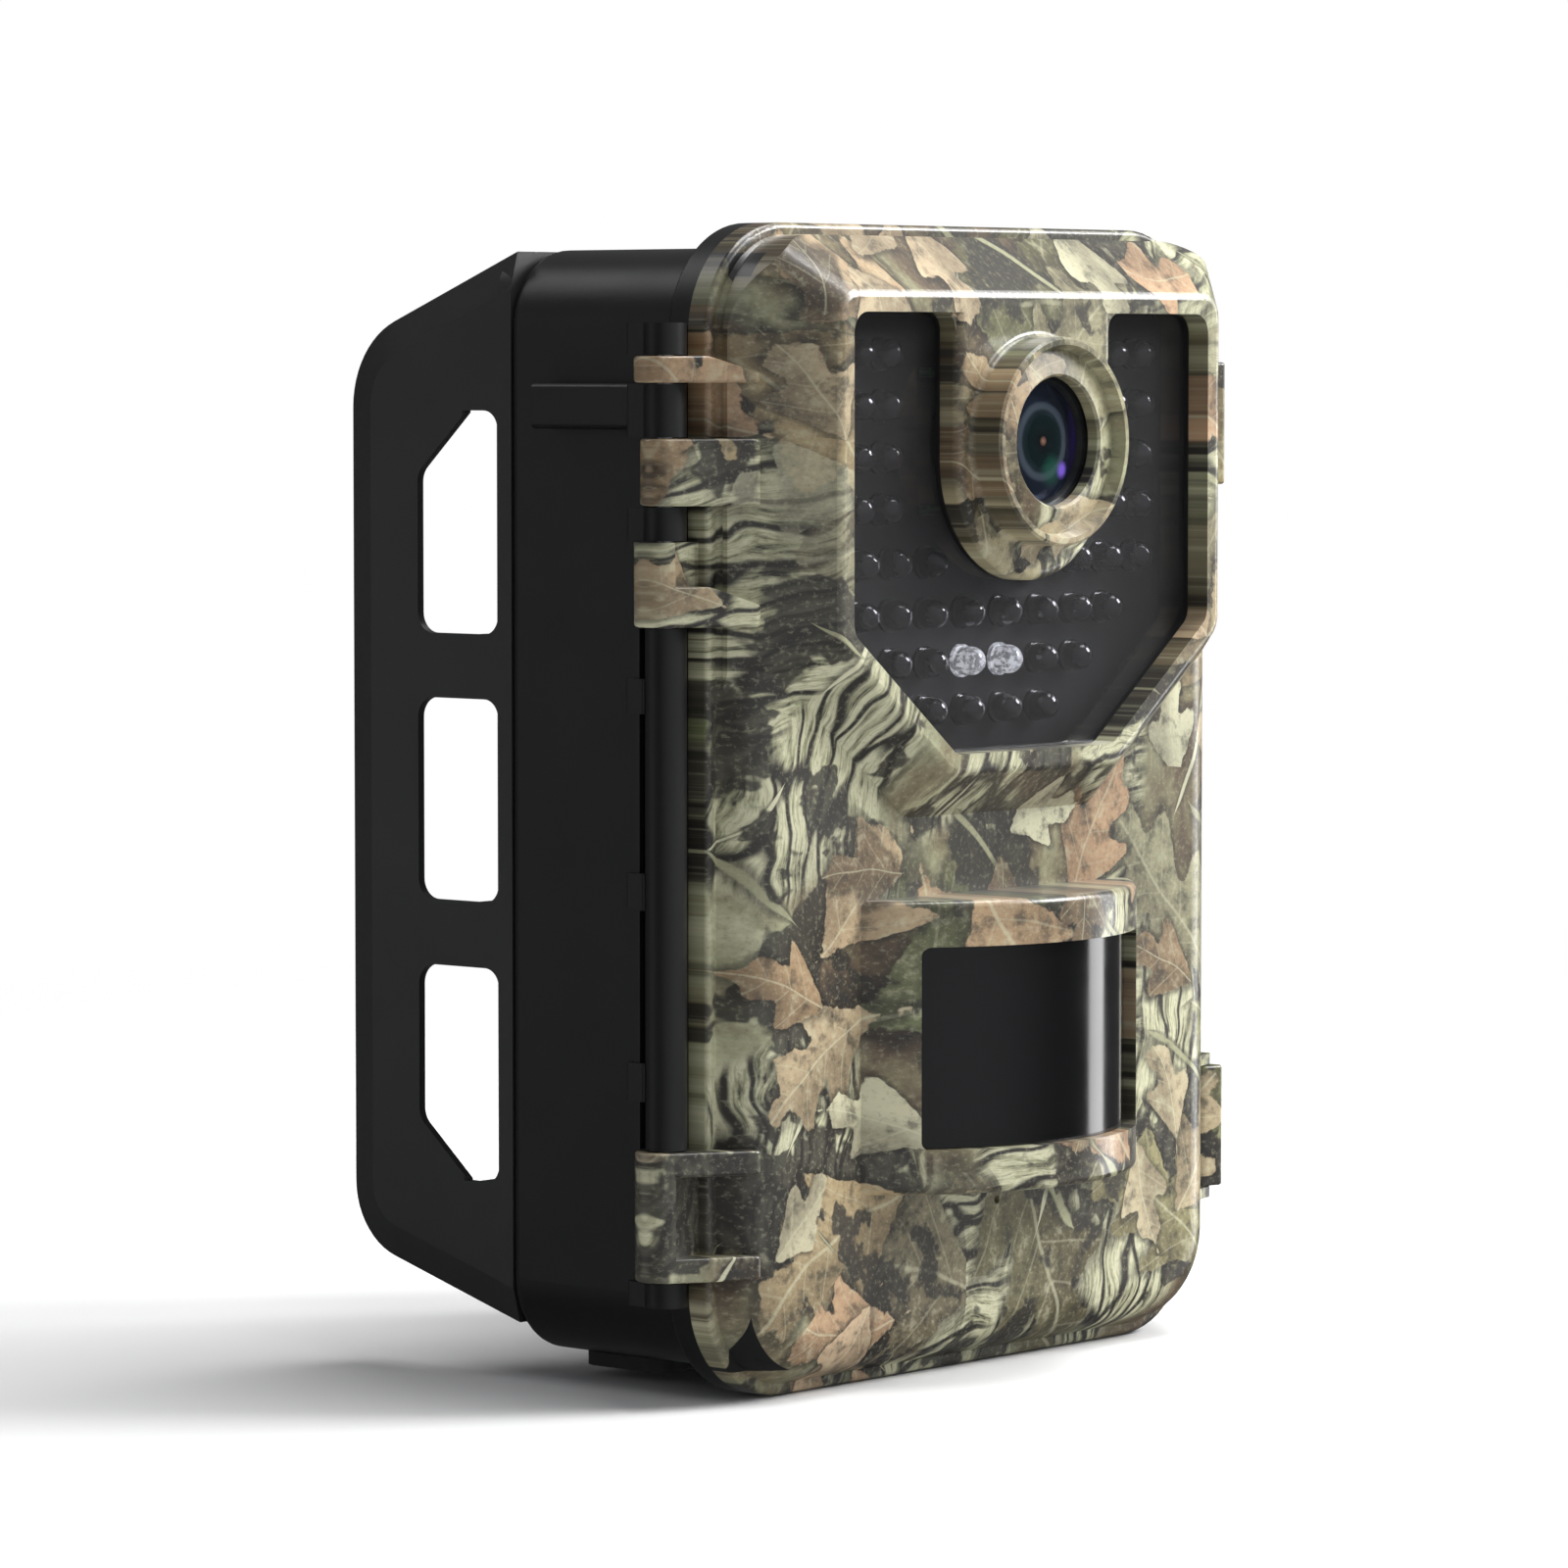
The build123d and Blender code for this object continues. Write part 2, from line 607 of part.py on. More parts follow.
def make_memory_card():
    card = block(CARD_X - 5.5, CARD_X + 5.5, -0.95, -0.05, CARD_Z - 16.4, CARD_Z - 1.6)
    notch = block(CARD_X + 4.6, CARD_X + 8, -3, 3, CARD_Z - 8.0, CARD_Z)
    return card - notch


def make_usb_port():
    shell = block(-4.6, 4.6, -1.6, 1.5, 12.0, 19.0)
    return shell - block(-4.1, 4.1, -1.1, 1.0, 11.0, 18.4)


def make_microphone():
    return rod_y(0, 20.1, 2.4, -6.2, -3.0)


def make_speaker():
    ring = rod_y(19.5, 23.5, 7.0, -1.6, 1.6)
    return fillet(ring.edges().group_by(Axis.Y)[-1], 0.5)


# ---- latches ----

def make_latch(z0, z1):
    """A camouflaged lever: round hub, a plate along the side and a short lip at its end."""
    lever = hull_xy([(LATCH_X, LATCH_Y, 1.7), (48.75, -4.0, 0.75), (48.1, 8.0, 1.2)], z0, z1)
    lever = fillet(lever.edges().filter_by(Plane.XY), 0.4)
    lever = lever - block(45, 47.5, -0.9, 6.9, z0 - 1, z1 + 1)
    return lever - rod_z(LATCH_X, LATCH_Y, LATCH_PIN_R + PIN_FIT, z0 - 1, z1 + 1)


def make_latch_pins():
    return group(rod_z(LATCH_X, LATCH_Y, LATCH_PIN_R, z0 - 1.4, z1 + 1.4) for z0, z1 in LATCH_ZS.values())


# ---- rear case ----

def case_body():
    flange = fillet(prism(outline(), FLANGE_T, 0).edges().group_by(Axis.Y)[-1], 0.7)
    body = prism(case_outline(), CASE_Y, FLANGE_T - 0.5)
    body = fillet(body.edges().group_by(Axis.Y)[-1], 1.6)
    return flange + body


def case_boss():
    boss = rod_z(0, SOCKET_Y, BOSS_R, 0, CASE_Z0 + 8.4)
    return fillet(boss.edges().group_by(Axis.Z)[0], 0.6)


def hinge_base(z0, z1):
    """One black hinge knuckle with its foot on the case side."""
    foot = fillet(block(-51.4, -43.0, 1.0, FOOT_Y, z0, z1).edges().filter_by(Axis.Z), 0.6)
    return foot + rod_z(HINGE_X, 0, KNUCKLE_R, z0, z1)


def latch_keepers():
    """Small lugs on the case side, under the latch levers."""
    keepers = []
    for z0, z1 in LATCH_ZS.values():
        lug = block(43.0, 46.7, 1.0, 6.6, z0 + 2.0, z1 - 2.0)
        keepers.append(fillet(lug.edges().filter_by(Axis.Z), 0.5))
    return keepers


def seal_ring(y0, y1):
    """A closed ring that follows the shell's outline."""
    outer = outline(SEAL_INSET)
    inner = outline(SEAL_INSET + SEAL_W)
    return prism(outer, y1, y0) - prism(inner, y1 + 1, y0 - 1)


def make_rear_case():
    case = case_body() + case_boss()
    case = case - prism(case_outline(CASE_WALL), CASE_Y - CASE_WALL, -1)
    case = case + (case_boss() & block(-12, 12, 0, 30, 0, CASE_Z0 + 8.4))
    for z0, z1 in CASE_KNUCKLES:
        case = case + hinge_base(z0, z1)
    arm_z0, arm_z1 = CASE_KNUCKLES[2]
    arm = block(-46.5, -43.0, FOOT_Y - 0.5, 23.3, arm_z0 + 0.8, arm_z1)
    case = case + fillet(arm.edges().filter_by(Axis.Y), 0.6)
    for lug in latch_keepers():
        case = case + lug
    case = case - seal_ring(-1, SEAL_DEPTH)
    case = case - rod_z(HINGE_X, 0, PIN_R, 5, 130)
    case = case - rod_z(0, SOCKET_Y, 4.5, -1, SOCKET_DEPTH)
    case = case - rod_z(0, SOCKET_Y, 3.4, SOCKET_DEPTH - 1, SOCKET_DEPTH + 0.8)
    case = case - rod_z(PLUG_X, PLUG_Y, 3.3, 0, 8)
    for x, z in BRACKET_SCREWS:
        case = case - rod_y(x, z, 1.3, CASE_Y - 4, CASE_Y + 1)
    return case


def make_door_seal():
    """The rubber ring in the groove of the case flange."""
    return seal_ring(0.05, SEAL_DEPTH)


def make_tripod_insert():
    body = rod_z(0, SOCKET_Y, 4.5, 0, SOCKET_DEPTH)
    groove = rod_z(0, SOCKET_Y, 6, 4, 5) - rod_z(0, SOCKET_Y, 4.1, 3, 6)
    bore = rod_z(0, SOCKET_Y, SOCKET_R, -1, SOCKET_DEPTH + 1)
    return body - groove - bore


def make_hinge_pin():
    return fillet(rod_z(HINGE_X, 0, PIN_R, 12.2, 123.1).edges().filter_by(GeomType.CIRCLE), 0.2)


def make_hinge_tube():
    """The long black sleeve over the pin, with a web to the case and three clips behind."""
    tube = rod_z(HINGE_X, 0, KNUCKLE_R, TUBE_Z0, TUBE_Z1)
    web = block(HINGE_X, -SHELL_W / 2 - 0.03, 0.5, 3.3, TUBE_Z0, TUBE_Z1)
    for z0, z1 in TUBE_NOTCHES:
        web = web - block(-60, -40, 0, 2.5, z0, z1)
    tube = tube + web + block(-51.0, -SHELL_W / 2 - 0.03, 2.5, 3.3, TUBE_Z0, TUBE_Z1)
    for z0, z1 in CLIPS:
        clip = fillet(block(-51.4, -CASE_HALF - 0.05, 1.5, FOOT_Y, z0, z1).edges().filter_by(Axis.Z), 0.4)
        tube = tube + clip
    return tube - rod_z(HINGE_X, 0, PIN_R, 5, 130) - prism(outline(-0.02), FLANGE_T + 0.03, -0.01)


def make_dc_jack():
    x, y = PLUG_X, PLUG_Y
    floor = CASE_Z0 + CASE_WALL
    body = block(x - 5.4, x + 5.4, y - 5.5, y + 5.5, floor + 0.02, floor + 9.8)
    barrel = rod_z(x, y, 2.8, floor - 1, floor + 8)
    return body - barrel + rod_z(x, y, 0.8, floor + 1.5, floor + 9)


def make_port_plug():
    """Rubber plug for the power socket: a flap, a nub that fills the hole, and a pull tab."""
    x, y = PLUG_X, PLUG_Y
    flap = block(x - 6.5, x + 6.5, y - 7.0, y + 6.0, 1.2, CASE_Z0 - 0.03)
    flap = fillet(flap.edges().filter_by(Axis.Z), 2.5)
    return flap + rod_z(x, y, 2.5, 2.0, CASE_Z0 + 1.7)


# ---- batteries ----

def cell_rows():
    """Bottom heights of the two rows of cells."""
    middle = (BOX_Z0 + BOX_Z1) / 2
    return BOX_Z0 + BOX_WALL, middle + BOX_WALL / 2


def cell_list():
    """Every cell as (x, z of the lower end of its bay, nub at the top)."""
    cells = []
    for row, z in enumerate(cell_rows()):
        for column, x in enumerate(CELL_XS):
            cells.append((x, z, (row + column) % 2 == 0))
    return cells


def make_battery_box():
    box = block(-BOX_HALF, BOX_HALF, BOX_Y0, BOX_Y1, BOX_Z0, BOX_Z1)
    half = BOX_HALF - BOX_WALL
    for z in cell_rows():
        box = box - block(-half, half, BOX_Y0 - 1, BOX_Y1 - BOX_WALL, z, z + BAY)
    for x in (-15.2, 0.0, 15.2):
        rib = block(x - 0.3, x + 0.3, CELL_Y, BOX_Y1 - 1, BOX_Z0 + 1, BOX_Z1 - 1)
        for z in cell_rows():
            rib = rib - block(-40, 40, 0, 40, z, z + 5) - block(-40, 40, 0, 40, z + BAY - 5, z + BAY)
        box = box + rib
    return box


def make_battery_cells():
    cells = []
    for x, z, up in cell_list():
        bottom = z + (3.3 if up else 0.4)
        can = rod_z(x, CELL_Y, CELL_R, bottom + (0 if up else 1.0), bottom + CELL_L - (1.0 if up else 0))
        can = fillet(can.edges().filter_by(GeomType.CIRCLE), 0.6)
        nub_z = bottom + CELL_L - 1.1 if up else bottom
        cells.append(can + rod_z(x, CELL_Y, 2.6, nub_z, nub_z + 1.1))
    return group(cells)


def coil(x, z):
    """One contact spring, closed by flat rings at its ends."""
    helix = Helix(pitch=0.8, height=2.0, radius=3.4)
    wire = sweep(Plane(helix @ 0, z_dir=helix % 0) * Circle(0.25), path=helix)
    return Pos(x, CELL_Y, z) * wire


def make_battery_springs():
    springs = []
    for x, z, up in cell_list():
        springs.append(coil(x, z + 0.85 if up else z + BAY - 2.85))
    return group(springs)


def make_battery_contacts():
    plates = []
    for x, z, up in cell_list():
        for z0 in (z + 0.02, z + BAY - 0.32):
            plates.append(block(x - 6.0, x + 6.0, CELL_Y - 6.5, CELL_Y + 6.5, z0, z0 + 0.3))
    return group(plates)


def make_battery_cover():
    """The sliding lid over the cells, with finger ridges near the top."""
    z1 = BOX_Z1
    lid = block(-34.5, 34.5, COVER_Y - COVER_T, COVER_Y, BOX_Z0 - 0.5, z1)
    lid = fillet(lid.edges().filter_by(Axis.Y), 2.0)
    for i in range(RIDGES):
        z = z1 - 14 + RIDGE_STEP * i
        lid = lid + block(-9, 9, COVER_Y - COVER_T - 0.5, COVER_Y - COVER_T + 0.2, z, z + 0.8)
    return lid


# ---- tree bracket ----

def wing_outline():
    corners = [(CASE_Y, PLATE_Z0), (WING_Y, WING_LOW_Z), (WING_Y, WING_HIGH_Z), (CASE_Y, PLATE_Z1)]
    face = Polygon(*corners, align=None)
    high = [v for v in face.vertices() if abs(v.Y - WING_HIGH_Z) < 0.01]
    face = fillet(high, WING_HIGH_R)
    low = [v for v in face.vertices() if abs(v.Y - WING_LOW_Z) < 0.01]
    return fillet(low, WING_LOW_R)


def strap_window(outer_x, z0, z1, diagonal):
    """One strap window. Its wall towards the case slants, so the opening is wider outside."""
    corners = [(WINDOW_Y, z0), (WINDOW_Y1, z0), (WINDOW_Y1, z1), (WINDOW_Y, z1)]
    if diagonal > 0:
        corners = corners[:2] + [(WINDOW_Y1, z1 - diagonal), (WINDOW_Y + 1.2, z1), corners[3]]
    if diagonal < 0:
        corners = [corners[0], (WINDOW_Y + 1.2, z0), (WINDOW_Y1, z0 - diagonal)] + corners[2:]
    face = Polygon(*corners, align=None)
    face = fillet([v for v in face.vertices() if v.X > WINDOW_Y1 - 1], 2.4)
    straight = extrude(Plane.YZ.offset(outer_x - 1) * face, amount=WING_T + 2, dir=(1, 0, 0))
    slope = [(outer_x - 0.1, WINDOW_Y0), (outer_x - 0.1, WINDOW_Y + 2), (outer_x + WING_T, WINDOW_Y)]
    wedge = extrude(Plane.XY.offset(z0) * Polygon(*slope, align=None), amount=z1 - z0, dir=(0, 0, 1))
    frame = rounded(WINDOW_Y0, WINDOW_Y1, z0, z1, 2.2)
    opening = extrude(Plane.YZ.offset(outer_x - 1) * frame, amount=WING_T + 2, dir=(1, 0, 0))
    return straight + (wedge & opening)


def wing():
    """The left side plate with its strap windows, drawn in the YZ plane."""
    outer_x = -CASE_HALF + 0.5
    plate = extrude(Plane.YZ.offset(outer_x) * wing_outline(), amount=WING_T)
    outer_face = plate.faces().sort_by(Axis.X)[0]
    rim = [edge for edge in outer_face.edges() if edge.center().Y > CASE_Y + 0.5]
    plate = chamfer(rim, WING_BEVEL, WING_BEVEL_DROP, reference=outer_face)
    for z0, z1, diagonal in STRAP_WINDOWS:
        plate = plate - strap_window(outer_x, z0, z1, diagonal)
        plate = plate - block(outer_x + WING_SKIN, 0, WINDOW_Y + 0.3, WING_Y - 4.3, z0 - 1.5, z1 + 1.5)
    return plate


def cradle_rib(z):
    """A rib that joins the two wings, hollowed to sit against a trunk."""
    half = CASE_HALF - 0.5 - WING_T + 0.5
    rib = block(-half, half, CASE_Y + 1.5, WING_Y - 4, z - 1.8, z + 1.8)
    return rib - rod_z(0, CASE_Y + 8.5 + CRADLE_R, CRADLE_R, z - 5, z + 5)


def make_tree_bracket():
    half = CASE_HALF - 0.5
    plate = prism(rounded(-half, half, PLATE_Z0, PLATE_Z1, 5.0), CASE_Y + 2.1, CASE_Y)
    left = wing()
    bracket = plate + left + left.mirror(Plane.YZ)
    for z in BAR_ZS:
        bracket = bracket + cradle_rib(z)
    for x, z in BRACKET_SCREWS:
        bracket = bracket - rod_y(x, z, 1.7, CASE_Y - 1, CASE_Y + 4)
        bracket = bracket - rod_y(x, z, 3.0, CASE_Y + 0.9, CASE_Y + 4)
    return bracket


def make_bracket_screws():
    screws = []
    for x, z in BRACKET_SCREWS:
        head = rod_y(x, z, 2.7, CASE_Y + 0.95, CASE_Y + 2.4)
        cross = block(x - 1.6, x + 1.6, CASE_Y + 1.6, 50, z - 0.35, z + 0.35) \
            + block(x - 0.35, x + 0.35, CASE_Y + 1.6, 50, z - 1.6, z + 1.6)
        screws.append(rod_y(x, z, 1.25, CASE_Y - 2.4, CASE_Y + 1) + head - cross)
    return group(screws)


def make_power_lead():
    """The two-core lead from the battery box, coiled by the hinge side."""
    path = Polyline((-35.0, 12.0, 60.0), (-37.6, 12.0, 60.0), (-37.6, 12.0, 90.0), (-37.6, 5.5, 90.0))
    return sweep(Plane(path @ 0, z_dir=path % 0) * Circle(1.0), path=path, transition=Transition.ROUND)


def build():
    places = lamp_places()
    white = [(x, z) for x, z in places if (z, abs(x)) == WHITE_LED]
    nodes = {
        "front_shell": make_front_shell(),
        "ir_window": make_ir_window(),
        "ir_lamps": group(lamp(x, z) for x, z in places if (x, z) not in white),
        "white_lamps": group(lamp(x, z) for x, z in white),
        "lamp_board": make_led_board(),
        "lens_cover": make_lens_cover(),
        "lens_barrel": make_lens_barrel(),
        "lens_glass": make_lens_glass(),
        "ir_cut_housing": make_ir_cut_housing(),
        "ir_cut_filter": make_ir_cut_filter(),
        "image_sensor": make_image_sensor(),
        "sensor_board": make_sensor_board(),
        "pir_lens": make_pir_lens(),
        "pir_sensor": make_pir_sensor(),
        "main_board": make_main_board(),
        "board_screws": make_board_screws(),
        "board_chips": make_board_chips(),
        "key_switches": make_key_switches(),
        "inner_panel": make_inner_panel(),
        "panel_screws": make_panel_screws(),
        "lcd_display": make_lcd_display(),
        "lcd_cover": make_lcd_cover(),
        "power_switch_body": make_power_switch_body(),
        "power_switch_knob": make_power_switch_knob(),
        "card_socket": make_card_socket(),
        "memory_card": make_memory_card(),
        "usb_port": make_usb_port(),
        "microphone": make_microphone(),
        "speaker": make_speaker(),
        "latch_upper": make_latch(*LATCH_ZS["upper"]),
        "latch_lower": make_latch(*LATCH_ZS["lower"]),
        "latch_pins": make_latch_pins(),
        "rear_case": make_rear_case(),
        "door_seal": make_door_seal(),
        "tripod_insert": make_tripod_insert(),
        "hinge_pin": make_hinge_pin(),
        "hinge_tube": make_hinge_tube(),
        "dc_jack": make_dc_jack(),
        "port_plug": make_port_plug(),
        "battery_box": make_battery_box(),
        "battery_cells": make_battery_cells(),
        "battery_springs": make_battery_springs(),
        "battery_contacts": make_battery_contacts(),
        "battery_cover": make_battery_cover(),
        "tree_bracket": make_tree_bracket(),
        "bracket_screws": make_bracket_screws(),
        "power_lead": make_power_lead(),
    }
    for name, (x, z) in KEYS.items():
        nodes[name] = make_key(x, z)
    return nodes


os.makedirs("parts", exist_ok=True)
for name, part in build().items():
    export_step(Pos(0, -SOCKET_Y, 0) * part, "parts/" + name + ".step")
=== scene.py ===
import json
import math

import bpy
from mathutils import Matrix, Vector

# A trail camera: camouflaged front shell, black rear case and tree bracket.
# The frame's origin is the tripod socket's mouth. The joint plane between the two
# half-shells stands SOCKET_Y in front of it (towards -Y). Lengths here are metres.

MM = 0.001
SOCKET_Y = 15.0 * MM

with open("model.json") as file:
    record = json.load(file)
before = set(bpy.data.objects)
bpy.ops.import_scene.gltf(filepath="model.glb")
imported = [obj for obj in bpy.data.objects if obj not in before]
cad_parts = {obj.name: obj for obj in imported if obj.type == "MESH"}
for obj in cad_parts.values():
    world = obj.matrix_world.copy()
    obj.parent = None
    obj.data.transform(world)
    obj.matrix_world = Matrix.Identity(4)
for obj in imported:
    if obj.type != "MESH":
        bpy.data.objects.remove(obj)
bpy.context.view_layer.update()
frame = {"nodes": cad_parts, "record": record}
nodes = frame["nodes"]


# ---- node graph helpers ----

class Graph:
    """A short way to write a material's or a world's nodes: most calls return an output socket."""

    def __init__(self, name, kind=bpy.data.materials, output="ShaderNodeOutputMaterial"):
        self.owner = kind.new(name)
        self.owner.use_nodes = True
        self.output = output
        self.tree = self.owner.node_tree
        self.tree.nodes.clear()
        self.coords = self.tree.nodes.new("ShaderNodeTexCoord").outputs["Object"]

    def put(self, socket, value):
        if isinstance(value, bpy.types.NodeSocket):
            self.tree.links.new(value, socket)
        elif value is not None:
            socket.default_value = value

    def node(self, kind, inputs=None, **settings):
        made = self.tree.nodes.new(kind)
        for key, value in settings.items():
            setattr(made, key, value)
        for key, value in (inputs or {}).items():
            self.put(made.inputs[key], value)
        return made

    def math(self, operation, a, b=None, c=None):
        made = self.node("ShaderNodeMath", operation=operation)
        for socket, value in zip(made.inputs, (a, b, c)):
            self.put(socket, value)
        return made.outputs[0]

    def vector(self, operation, a, b=None, scale=None):
        made = self.node("ShaderNodeVectorMath", operation=operation)
        self.put(made.inputs[0], a)
        self.put(made.inputs[1], b)
        self.put(made.inputs[3], scale)
        return made.outputs["Value" if operation in ("LENGTH", "DOT_PRODUCT") else "Vector"]

    def split(self, vector):
        made = self.node("ShaderNodeSeparateXYZ", {0: vector})
        return made.outputs[0], made.outputs[1], made.outputs[2]

    def join(self, x, y, z=0.0):
        return self.node("ShaderNodeCombineXYZ", {0: x, 1: y, 2: z}).outputs[0]

    def noise(self, vector, scale, detail=2.0, rough=0.5, dims="3D"):
        made = self.node("ShaderNodeTexNoise", {"Vector": vector, "Scale": scale, "Detail": detail,
                                                "Roughness": rough}, noise_dimensions=dims)
        return made.outputs[0]

    def noise_color(self, vector, scale, detail=2.0):
        made = self.node("ShaderNodeTexNoise", {"Vector": vector, "Scale": scale, "Detail": detail},
                         noise_dimensions="2D")
        return made.outputs["Color"]

    def voronoi(self, vector, scale, feature="F1", randomness=1.0):
        return self.node("ShaderNodeTexVoronoi", {"Vector": vector, "Scale": scale,
                                                  "Randomness": randomness},
                         feature=feature, voronoi_dimensions="2D")

    def step(self, value, low, high):
        """A soft step from 0 at low to 1 at high. Low may lie above high."""
        made = self.node("ShaderNodeMapRange", {0: value, 1: low, 2: high, 3: 0.0, 4: 1.0},
                         interpolation_type="SMOOTHSTEP", clamp=True)
        return made.outputs[0]

    def mix(self, factor, a, b):
        made = self.node("ShaderNodeMix", data_type="RGBA", clamp_factor=True)
        self.put(made.inputs[0], factor)
        self.put(made.inputs[6], color(a))
        self.put(made.inputs[7], color(b))
        return made.outputs[2]

    def ramp(self, value, stops):
        made = self.node("ShaderNodeValToRGB", {0: value})
        ramp = made.color_ramp
        while len(ramp.elements) < len(stops):
            ramp.elements.new(0.5)
        for element, (position, rgb) in zip(ramp.elements, stops):
            element.position = position
            element.color = color(rgb)
        return made.outputs[0]

    def bump(self, height, strength, distance):
        made = self.node("ShaderNodeBump", {"Height": height, "Strength": strength, "Distance": distance})
        return made.outputs[0]

    def gloss(self, value, smooth, rough):
        """A roughness that runs from smooth to rough as the value passes the middle of a noise."""
        return self.node("ShaderNodeMapRange", {0: value, 1: 0.3, 2: 0.7, 3: smooth, 4: rough}).outputs[0]

    def finish(self, shader):
        self.node(self.output, {0: shader})
        return self.owner

    def surface(self, **inputs):
        """A Principled surface, with plain values or sockets by input name."""
        named = {key.replace("_", " ").title().replace("Ior", "IOR"): value
                 for key, value in inputs.items()}
        if "Base Color" in named:
            named["Base Color"] = color(named["Base Color"])
        return self.node("ShaderNodeBsdfPrincipled", named).outputs[0]


def color(value):
    """Adds the fourth channel that sockets want. A socket passes through."""
    if isinstance(value, (tuple, list)) and len(value) == 3:
        return (*value, 1.0)
    return value


def tinted(rgb, factor):
    """A colour made lighter or darker."""
    return tuple(channel * factor for channel in rgb)


# ---- camouflage print ----

CREAM = (0.53, 0.52, 0.36)
SAGE = (0.29, 0.29, 0.18)
KHAKI = (0.19, 0.165, 0.095)
BROWN = (0.11, 0.078, 0.048)
CHARCOAL = (0.030, 0.027, 0.023)
PEACH = (0.50, 0.32, 0.19)
TAN = (0.33, 0.225, 0.125)
MOSS = (0.155, 0.19, 0.085)
LEAF_DARK = (0.14, 0.10, 0.06)
LEAF_SHADE = (0.05, 0.035, 0.02)
SHADOW = (0.015, 0.012, 0.01)
BARE_PLASTIC = (0.008, 0.008, 0.0085)


def print_coords(g, seed=0.0, turn=0.0):
    """Position on the print in millimetres: the pattern is laid on from the front."""
    x, _, z = g.split(g.vector("SCALE", g.coords, scale=1000.0))
    place = g.join(g.math("ADD", x, seed * 37.0), g.math("ADD", z, seed * 61.0))
    if turn:
        turned = g.node("ShaderNodeVectorRotate", {"Vector": place, "Angle": turn},
                        rotation_type="Z_AXIS")
        return turned.outputs[0]
    return place


def warped(g, place, scale, amount):
    """The place, pushed about by soft noise, in millimetres."""
    shift = g.vector("SUBTRACT", g.noise_color(place, scale), (0.5, 0.5, 0.5))
    return g.vector("ADD", place, g.vector("SCALE", shift, scale=amount))


def leaf_layer(g, below, seed, size, colors, share, lobes=3.0, width=0.30, shade=0.75):
    """One scatter of lobed leaves over what lies below: one leaf to a cell, each turned its own way."""
    place = warped(g, print_coords(g, seed), 0.05, 4.0)
    cell = g.voronoi(place, 1.0 / size, randomness=0.75)
    pick = g.node("ShaderNodeSeparateColor", {0: cell.outputs["Color"]})
    offset = g.vector("SCALE", g.vector("SUBTRACT", place, cell.outputs["Position"]), scale=1.0 / size)
    angle = g.math("MULTIPLY", pick.outputs[0], 2 * math.pi)
    turned = g.node("ShaderNodeVectorRotate", {"Vector": offset, "Angle": angle},
                    rotation_type="Z_AXIS").outputs[0]
    u, v, _ = g.split(turned)
    bend = g.math("MULTIPLY", g.math("MULTIPLY", u, u), g.math("SUBTRACT", pick.outputs[1], 0.5))
    v = g.math("ADD", v, bend)
    across = g.math("ABSOLUTE", v)
    along = g.math("ADD", g.math("DIVIDE", u, 0.96), 0.5)
    swept = g.math("SUBTRACT", along, g.math("MULTIPLY", across, 0.85))
    reach = g.math("POWER", g.math("MAXIMUM", along, 0.0), 0.8)
    envelope = g.math("SINE", g.math("MULTIPLY", reach, math.pi))
    envelope = g.math("POWER", g.math("MAXIMUM", envelope, 0.0), 0.75)
    wave = g.math("COSINE", g.math("MULTIPLY", swept, 2 * math.pi * lobes))
    lobe = g.math("MULTIPLY_ADD", wave, -0.30, 0.70)
    ragged = g.math("MULTIPLY", g.math("SUBTRACT", g.noise(place, 0.6, 3.0, dims="2D"), 0.5), 0.12)
    edge = g.math("SUBTRACT", g.math("MULTIPLY", g.math("MULTIPLY", envelope, lobe), width), across)
    edge = g.math("ADD", edge, ragged)
    inside = g.step(edge, 0.0, 0.02)
    shown = g.step(pick.outputs[2], share + 0.01, share)
    inside = g.math("MULTIPLY", inside, shown)
    halo = g.math("MULTIPLY", g.step(edge, -0.11, 0.0), shown)
    halo = g.math("MULTIPLY", halo, shade)
    stops = [(i / (len(colors) - 1), c) for i, c in enumerate(colors)]
    paint = g.ramp(g.math("FRACT", g.math("MULTIPLY", pick.outputs[1], 7.3)), stops)
    side = g.step(v, -0.12, 0.12)
    paint = g.mix(g.math("MULTIPLY", side, 0.45), paint, LEAF_SHADE)
    mottle = g.noise(place, 0.35, 5.0, 0.65, dims="2D")
    paint = g.mix(g.step(mottle, 0.47, 0.72), paint, g.mix(0.7, paint, CHARCOAL))
    paint = g.mix(g.step(mottle, 0.46, 0.28), paint, g.mix(0.35, paint, CREAM))
    rib = g.math("MULTIPLY", g.step(across, 0.011, 0.003), 0.7)
    vein_phase = g.math("FRACT", g.math("MULTIPLY_ADD", swept, lobes * 2.0, 0.5))
    vein_wave = g.math("ABSOLUTE", g.math("SUBTRACT", vein_phase, 0.5))
    vein = g.math("MULTIPLY", g.step(vein_wave, 0.05, 0.015), 0.35)
    lines = g.math("MAXIMUM", rib, vein)
    paint = g.mix(lines, paint, g.mix(0.6, paint, CREAM))
    below = g.mix(halo, below, g.mix(0.8, below, SHADOW))
    return g.mix(inside, below, paint)


